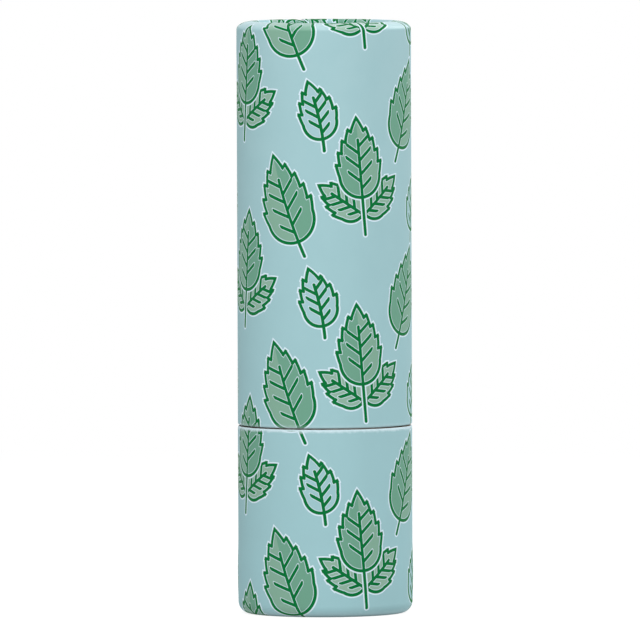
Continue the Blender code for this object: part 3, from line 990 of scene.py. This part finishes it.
line_width = 0.39 * MM
pale_width = 0.17 * MM
ink_softness = 0.03 * MM
repeat_across = tau * outer_radius / 4
repeat_up = 22.0 * MM
fill_slip_across = 0.25 * MM
fill_slip_up = -0.15 * MM
TOOTH_DEPTH_SHARE = 0.3
RIB_SHARE = 0.76
VEIN_SLOPE = radians(40)
VEIN_PITCH_SHARE = 0.18
VEIN_STAGGER_SHARE = 0.25
VEIN_MIDDLE_SHARE = 0.4
VEIN_SPREAD_SHARE = 0.3
VEIN_REACH_SHARE = 0.55
VEIN_TAPER = 1.5
INNER_PALE_SHARE = 0.35
SHADE_SHARE = 0.45
leaf_inputs = {
    "Print": None,
    "Place across": 0.0,
    "Place up": 0.0,
    "Tilt": 0.0,
    "Twin": 0.0,
    "Base up": 0.0,
    "Spread": 0.0,
    "Length": 10.4 * MM,
    "Width": 6.2 * MM,
    "Stem": 2.3 * MM,
    "Bow": 0.35 * MM,
    "Teeth": 5.0,
    "Filled": 1.0,
    "Light": 0.0,
}


def leaf_group():
    """One leaf of the print and its repeats: where its ink, pale edge, fill, shade and body lie."""
    tree, given = open_group("printed_leaf", leaf_inputs)
    across, up, _ = split(given["Print"])
    across = across - given["Place across"]
    column = math("ROUND", across / repeat_across)
    odd = math("FLOORED_MODULO", column, 2.0)
    across = (across - column * repeat_across) * (1 - odd * 2)
    up = up - given["Place up"] + odd * (repeat_up / 2)
    up = up - math("ROUND", up / repeat_up) * repeat_up

    def turned_by(angle, first, second):
        """A place turned about the middle of its leaf or sprig."""
        sine, cosine = math("SINE", angle), math("COSINE", angle)
        return first * cosine - second * sine, first * sine + second * cosine

    first, second = turned_by(given["Tilt"], across, up)
    first = first + given["Twin"] * (abs(first) - first)
    first, second = turned_by(given["Spread"], first, second - given["Base up"])

    length, half_width, teeth = given["Length"], given["Width"] / 2, given["Teeth"]
    point = length - half_width
    set_in = (point * point / half_width - half_width) / 2
    side_radius = set_in + half_width
    point_angle = math("ARCTAN2", point, set_in)
    tooth_pitch = side_radius * point_angle / teeth
    last_step = teeth - 1.0
    tooth_depth = tooth_pitch * TOOTH_DEPTH_SHARE

    def outside(across_by, up_by):
        """How far a point lies outside a blade that is round at its base and comes to a toothed point."""
        along = second + up_by - half_width
        share = along / point
        off_rib = first + across_by - given["Bow"] * (1 - share * share)
        side = abs(off_rib)
        shift = set_in * math("GREATER_THAN", along, 0.0)
        gap = math("SQRT", (side + shift) * (side + shift) + along * along) - shift - half_width
        reached = math("ARCTAN2", along, side + set_in) / point_angle * teeth
        passed = math("MAXIMUM", math("MINIMUM", math("FLOOR", reached), last_step), 0.0)
        rising = math("MAXIMUM", reached, 0.0) - passed - 0.5
        nearest = math("MAXIMUM", math("ROUND", reached), 1.0)
        off_step = abs(reached - math("MINIMUM", nearest, last_step)) * tooth_pitch
        step = math("MAXIMUM", off_step, abs(gap) - tooth_depth / 2)
        return gap - rising * tooth_depth, step, off_rib, side

    def from_line(beside, beyond):
        """The distance from a line that ends round."""
        past = math("MAXIMUM", beyond, 0.0)
        return math("SQRT", beside * beside + past * past)

    margin, step, off_rib, side = outside(0.0, 0.0)
    rib = from_line(side, math("MAXIMUM", second - length * RIB_SHARE, 0 - second - given["Stem"]))
    vein_pitch = length * VEIN_PITCH_SHARE
    stagger = math("SIGN", off_rib) * VEIN_STAGGER_SHARE
    climb = (second - side * tan(VEIN_SLOPE)) / vein_pitch + stagger
    vein_number = math("ROUND", climb)
    vein_share = (vein_number - stagger) * VEIN_PITCH_SHARE - VEIN_MIDDLE_SHARE
    vein_reach = half_width * (VEIN_REACH_SHARE - vein_share * vein_share * VEIN_TAPER)
    is_vein = math("LESS_THAN", abs(vein_share), VEIN_SPREAD_SHARE)
    vein_end = side - vein_reach + (1 - is_vein) * length
    vein = from_line((climb - vein_number) * vein_pitch * cos(VEIN_SLOPE), vein_end)
    drawn = math("MINIMUM", math("MINIMUM", abs(margin), step), math("MINIMUM", rib, vein)) - line_width / 2

    def within(gap):
        """1 on one side of a line where gap is 0 and 0 on the other, with the ink's soft edge."""
        return 1 - between(gap, -ink_softness, ink_softness)

    body = within(margin)
    pale = pale_width * (1 - body * (1 - INNER_PALE_SHARE))
    shade = between(off_rib, -ink_softness, ink_softness) * SHADE_SHARE
    results = {
        "Ink": within(drawn),
        "Pale edge": within(drawn - pale),
        "Fill": within(outside(fill_slip_across, fill_slip_up)[0]) * given["Filled"],
        "Shade": math("MAXIMUM", given["Light"], shade),
        "Body": body,
    }
    return close_group(tree, results)


sprig = {"Place across": 4.7 * MM, "Place up": 5.0 * MM, "Tilt": radians(-5)}
motifs = [
    sprig
    | {"Twin": 1.0, "Base up": -1.6 * MM, "Spread": radians(52), "Length": 6.2 * MM, "Width": 4.0 * MM}
    | {"Stem": 0.0, "Bow": 0.0, "Teeth": 4.0, "Light": 0.75},
    sprig
    | {"Base up": 0.3 * MM, "Length": 9.2 * MM, "Width": 5.6 * MM, "Stem": 4.2 * MM, "Bow": 0.0},
    {"Place across": -1.0 * MM, "Place up": 15.1 * MM, "Tilt": radians(-12), "Base up": -3.0 * MM}
    | {"Length": 6.8 * MM, "Width": 4.4 * MM, "Stem": 1.2 * MM, "Teeth": 4.0, "Filled": 0.0},
    {"Place across": 11.8 * MM, "Place up": 15.7 * MM, "Tilt": radians(20), "Base up": -4.8 * MM}
    | {"Length": 10.4 * MM, "Width": 6.4 * MM, "Stem": 1.6 * MM},
]
LINE_GREEN = (0.0, 0.165, 0.038)
PALE_EDGE = (0.70, 0.85, 0.94)
FILL_GREEN = (0.165, 0.375, 0.27)
FILL_GREEN_LIGHT = (0.33, 0.50, 0.40)


def leaf_print_group():
    """The whole print: its motifs laid over one another on the ground colour."""
    colours = {"Ground": MINT_PAPER, "Line": LINE_GREEN, "Pale": PALE_EDGE}
    colours |= {"Fill": FILL_GREEN, "Light fill": FILL_GREEN_LIGHT}
    tree, given = open_group("leaf_print", {"Print": None} | colours)
    leaf = leaf_group()
    colour = given["Ground"]
    inked = 0.0
    for motif in motifs:
        drawn = use_group(leaf, leaf_inputs | motif | {"Print": given["Print"]})
        colour = mixed(drawn["Body"], colour, given["Ground"])
        filled = mixed(drawn["Shade"], given["Fill"], given["Light fill"])
        colour = mixed(drawn["Fill"], colour, filled)
        colour = mixed(drawn["Pale edge"], colour, given["Pale"])
        colour = mixed(drawn["Ink"], colour, given["Line"])
        inked = math("MAXIMUM", drawn["Ink"], inked)
    return close_group(tree, {"Colour": colour, "Ink": inked})


PATCH_SHARE = 0.8
WEAR_RANGE = (0.2, 1.0)


def edge_wear_and_highlight_group():
    """Where an edge is rubbed paler, near it and broken up by noise. The paper also uses it to place a
    painted highlight on its lit edges.
    """
    inputs = {"Position": None, "Distance": 0.0, "Width": 0.3 * MM, "Patch": 0.6 * MM}
    tree, given = open_group("edge_wear_and_highlight", inputs)
    patches = noise(given["Position"], given["Patch"])
    ragged = given["Distance"] / given["Width"] + patches * PATCH_SHARE - PATCH_SHARE / 2
    return close_group(tree, {"Wear": 1 - between(ragged, *WEAR_RANGE)})


# Painted light and shade: the print's ground runs from a lighter mint at the top to a deeper one at the foot.
MINT_PAPER_PAINTED_LIT_TOP = (0.392, 0.602, 0.637)
MINT_PAPER_PAINTED_SHADED_FOOT = (0.352, 0.592, 0.631)
CLOUD_SHARE = 0.4
print_cloud_size = 4.0 * MM
PAPER_WHITE = (0.78, 0.82, 0.81)
# Painted highlight and wear: this rubbed colour also paints the light caught by the base's seam edge and the
# crests of the rolled rims.
RUBBED_PAPER_AND_HIGHLIGHT = (0.68, 0.84, 0.90)
BASE_SEAM_WEAR_AND_HIGHLIGHT = 0.9
CAP_SEAM_WEAR = 0.2
seam_wear_width = 0.55 * MM
RIM_WEAR_AND_HIGHLIGHT = 0.22
RIM_CREST_SHARE = 0.75
RIM_WEAR_AND_HIGHLIGHT_SHARE = 0.5
RIM_GLOSS = 0.95
CROWN_START_RANGE = (0.0, 0.3)
CROWN_END_RANGE = (1.0, 1.6)
PRINT_ROUGHNESS = 0.56
PRINT_FIBRE_ROUGHNESS = 0.12
INK_SMOOTHNESS = 0.06
PRINT_RELIEF_SHARES = (0.8, 0.2)
print_fibre_depth = 0.006 * MM


def kept_on(tree, label, output):
    """A value that the winding kept on the sheet, as a material reads it."""
    return made(tree, "ShaderNodeAttribute", output=output, attribute_name=label)


def printed_paper_finish(name):
    """Satin printed paper with painted light and shade, lighter at the top and deeper at the foot. It is
    rubbed paler at its open edge and its rolled rims, where the paleness is also a painted highlight on the
    base's seam edge and the rim crests, and it is burnished on the cap's rolled rim.
    """
    material, place = new_finish(name, {"Specular IOR Level": 0.08, "Coat Roughness": 0.5, "Coat IOR": 1.8})
    on_print = kept_on(place.tree, "print", "Vector")
    rolled = kept_on(place.tree, "rolled", "Fac")
    printed_side = kept_on(place.tree, "printed_side", "Fac")
    across, up, from_edge = split(on_print)
    fibre = use_group(paper_fibre, {"Position": joined(across, 0.0, up), "Cloud": print_cloud_size})
    # Painted shade: the ground is painted deeper towards the foot and lighter towards the top.
    ground = mixed(between(up, 0.0, total_height, "LINEAR"), MINT_PAPER_PAINTED_SHADED_FOOT, MINT_PAPER_PAINTED_LIT_TOP)
    ground = mixed(fibre["Clouds"] * CLOUD_SHARE, ground, MINT_PAPER_DEEP)
    printed = use_group(leaf_print, {"Print": on_print, "Ground": ground})
    bare = 1 - printed["Ink"]
    seam = use_group(edge_wear_and_highlight, {"Position": place, "Distance": from_edge, "Width": seam_wear_width})
    # Painted highlight and wear: the rolled rims' crests are painted paler, partly as rubbing and partly as
    # light caught on the crest.
    off_crest = abs(rolled - RIM_CREST_SHARE)
    rim = use_group(edge_wear_and_highlight, {"Position": place, "Distance": off_crest, "Width": RIM_WEAR_AND_HIGHLIGHT_SHARE})
    on_base = math("LESS_THAN", up, seam_height + seam_gap / 2)
    # Painted highlight and wear: the base's seam edge is painted strongly paler, partly as rubbing and partly
    # as light caught on its rounded top edge; the cap's seam edge is only a little paler.
    seam_wear_and_highlight = seam["Wear"] * (CAP_SEAM_WEAR + on_base * (BASE_SEAM_WEAR_AND_HIGHLIGHT - CAP_SEAM_WEAR))
    worn_and_highlit = math("MAXIMUM", seam_wear_and_highlight, rim["Wear"] * bare * RIM_WEAR_AND_HIGHLIGHT)
    colour = mixed(printed_side, PAPER_WHITE, mixed(worn_and_highlit, printed["Colour"], RUBBED_PAPER_AND_HIGHLIGHT))
    roughness = PRINT_ROUGHNESS + fibre["Relief"] * PRINT_FIBRE_ROUGHNESS - printed["Ink"] * INK_SMOOTHNESS
    relief = weighed((fibre["Relief"], printed["Ink"]), PRINT_RELIEF_SHARES)
    crown = between(rolled, *CROWN_START_RANGE) * (1 - between(rolled, *CROWN_END_RANGE)) * (1 - on_base)
    gloss = {"Coat Weight": crown * printed_side * bare * RIM_GLOSS}
    return finished(material, colour, roughness, relief, print_fibre_depth, gloss)


def wound_paper(name, tree, values):
    """One sheet from the tree, as plain mesh."""
    sheet = bpy.data.objects.new(name, bpy.data.meshes.new(name))
    bpy.context.collection.objects.link(sheet)
    winding = sheet.modifiers.new("winding", "NODES")
    winding.node_group = tree
    for socket in tree.interface.items_tree:
        if socket.in_out == "INPUT":
            winding[socket.identifier] = values[socket.name]
    return settle(sheet)


edge_wear_and_highlight = edge_wear_and_highlight_group()
leaf_print = leaf_print_group()
printed_paper = printed_paper_finish("printed_paper")
paper_tree = wound_paper_tree(printed_paper)
for name, seed, bands in (("base", 0.0, 2.0), ("cap", 5.0, 1.0)):
    sizes = paper_inputs | halves[name] | {"Seed": seed, "Bake bands": bands}
    paper = wound_paper(f"{name}_paper", paper_tree, sizes)
    seat(paper, printed_paper, name, f"{name}_wrap")


# Stage: a white floor that runs out of sight, soft lamps round a white room, and a camera far off with a long
# lens, slightly above the stick, as in a catalogue picture.
FLOOR_HALF_SIZE = 8.0
FLOOR_WHITE = (0.75, 0.75, 0.75)
WHITE = (1, 1, 1)
shadow_reach = 0.16
shadow_fade = 0.34
SHADOW_SHARE = 0.35
floor_glow = 0.86
floor_bounce = 0.62
contact_radius = 9.3 * MM
contact_reach = 0.9 * MM
CONTACT_SHADE = 0.7
room_fill = 0.54
LEFT_SHADE = 0.45
camera_distance = 1.9
camera_height = 0.1262
camera_aim_height = 0.03463
camera_aside = -0.00055
camera_lens = 905
camera_roll = radians(-0.2)
lamps = {
    "key": {"place": (-0.07, -0.42, 0.38), "size": 0.4, "power": 1.7},
    "top": {"place": (-0.08, 0.1, 0.7), "size": 0.4, "power": 0.45},
    "right": {"place": (0.44, 0.3, 0.3), "size": 0.3, "power": 1.35},
}
lamp_aim = Vector((0, 0, total_height / 2))


def glow(tree, strength):
    """A surface that shines white."""
    return made(tree, "ShaderNodeEmission", {"Color": WHITE, "Strength": strength})


def either(share, first, second):
    """One shader where share is 0 and another where it is 1."""
    return made(share.tree, "ShaderNodeMixShader", {0: share, 1: first, 2: second})


def ray(tree, kind):
    """1 for light of one kind and 0 for other light."""
    return made(tree, "ShaderNodeLightPath", output=f"Is {kind} Ray")


def floor_finish():
    """White to the camera and in reflections, with an even pale bounce that is shaded where the foot stands,
    and clear from below."""
    material = bpy.data.materials.new("floor_white")
    material.use_nodes = True
    tree = material.node_tree
    tree.nodes.clear()
    x, y, _ = split(made(tree, "ShaderNodeTexCoord", output="Object"))
    radius = math("SQRT", x * x + y * y)
    matte = made(tree, "ShaderNodeBsdfDiffuse", {"Color": FLOOR_WHITE})
    near_glow = glow(tree, floor_glow / (1 - SHADOW_SHARE))
    near = made(tree, "ShaderNodeMixShader", {0: 1 - SHADOW_SHARE, 1: matte, 2: near_glow})
    seen = either(between(radius, shadow_reach, shadow_fade), near, glow(tree, 1.0))
    off_contact = between(abs(radius - contact_radius), 0.0, contact_reach)
    bounce = 1 - ray(tree, "Diffuse") * (1 - floor_bounce)
    lit = glow(tree, (1 - (1 - off_contact) * CONTACT_SHADE) * bounce)
    above = either(ray(tree, "Camera"), lit, seen)
    below = made(tree, "ShaderNodeNewGeometry", output="Backfacing")
    surface = either(below, above, made(tree, "ShaderNodeBsdfTransparent"))
    add_node(tree, "ShaderNodeOutputMaterial", {"Surface": surface})
    return material


def room_light():
    """A white room: full white to the camera and in reflections, softer as light, and least on the left."""
    world = bpy.data.worlds.new("room")
    bpy.context.scene.world = world
    world.use_nodes = True
    tree = world.node_tree
    mirrored = math("MAXIMUM", ray(tree, "Glossy"), ray(tree, "Transmission"))
    seen = math("MAXIMUM", ray(tree, "Camera"), mirrored)
    across, _, _ = split(made(tree, "ShaderNodeTexCoord", output="Generated"))
    fill = room_fill * (1 - math("MAXIMUM", 0 - across, 0.0) * LEFT_SHADE)
    background = tree.nodes["Background"]
    plug(background.inputs["Color"], WHITE)
    plug(background.inputs["Strength"], fill + seen * (1 - fill))


floor_form = bmesh.new()
bmesh.ops.create_grid(floor_form, x_segments=1, y_segments=1, size=FLOOR_HALF_SIZE)
floor = piece_from(floor_form, "floor")
floor.data.materials.append(floor_finish())
room_light()
for name, lamp in lamps.items():
    light = bpy.data.lights.new(name, "AREA")
    light.shape = "DISK"
    light.size = lamp["size"]
    light.energy = lamp["power"]
    holder = bpy.data.objects.new(name, light)
    bpy.context.collection.objects.link(holder)
    holder.location = lamp["place"]
    holder.rotation_euler = (lamp_aim - holder.location).to_track_quat("-Z", "Y").to_euler()

camera = bpy.data.objects.new("camera", bpy.data.cameras.new("camera"))
bpy.context.collection.objects.link(camera)
camera.data.lens = camera_lens
camera.data.clip_end = 4 * FLOOR_HALF_SIZE
camera.location = (camera_aside, -camera_distance, camera_height)
view_line = Vector((camera_aside, 0, camera_aim_height)) - camera.location
straight = view_line.to_track_quat("-Z", "Y").to_matrix()
camera.rotation_euler = (straight @ Matrix.Rotation(camera_roll, 3, "Z")).to_euler()
bpy.context.scene.camera = camera
bpy.context.scene.view_settings.view_transform = "Standard"
